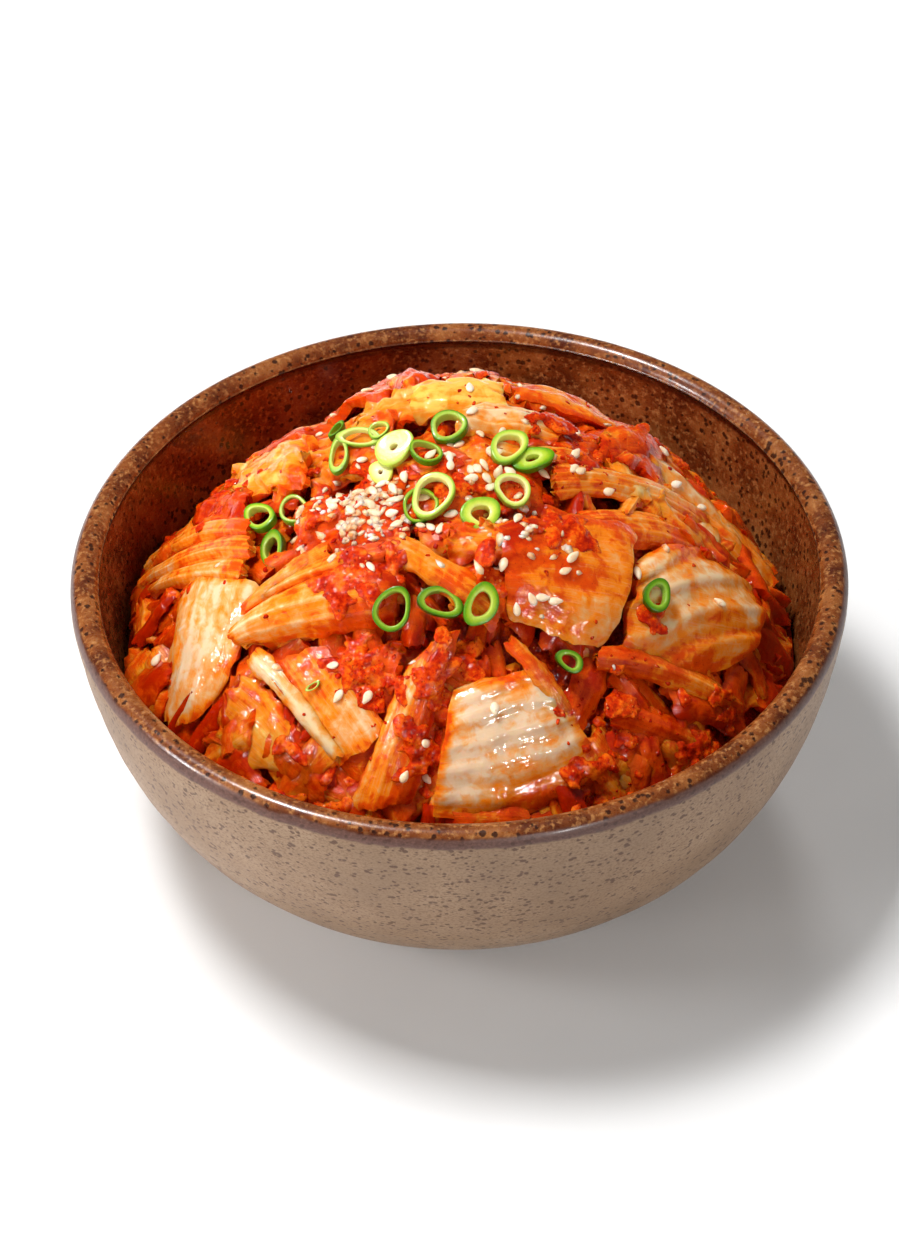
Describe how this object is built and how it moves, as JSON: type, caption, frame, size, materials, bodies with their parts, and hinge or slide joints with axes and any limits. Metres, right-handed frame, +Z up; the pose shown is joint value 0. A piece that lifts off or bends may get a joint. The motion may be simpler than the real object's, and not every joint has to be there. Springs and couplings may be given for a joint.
{
  "type": "kimchi in a bowl",
  "caption": "Heaped napa cabbage kimchi with chilli paste, scallion rings and sesame seeds, in a round brown-glazed stoneware bowl.",
  "frame": {"origin": "centre of the bowl's base, on the surface it stands on", "axes": "+Z up through the bowl's axis, -Y towards the viewer, +X to the viewer's right"},
  "size_m": [0.1598, 0.1598, 0.0949],
  "materials": {
    "glazed_stoneware": "gloss",
    "chilli_cabbage": "gloss"
  },
  "bodies": {
    "root": {"bowl": "glazed_stoneware", "kimchi_heap": "chilli_cabbage"}
  },
  "joints": []
}
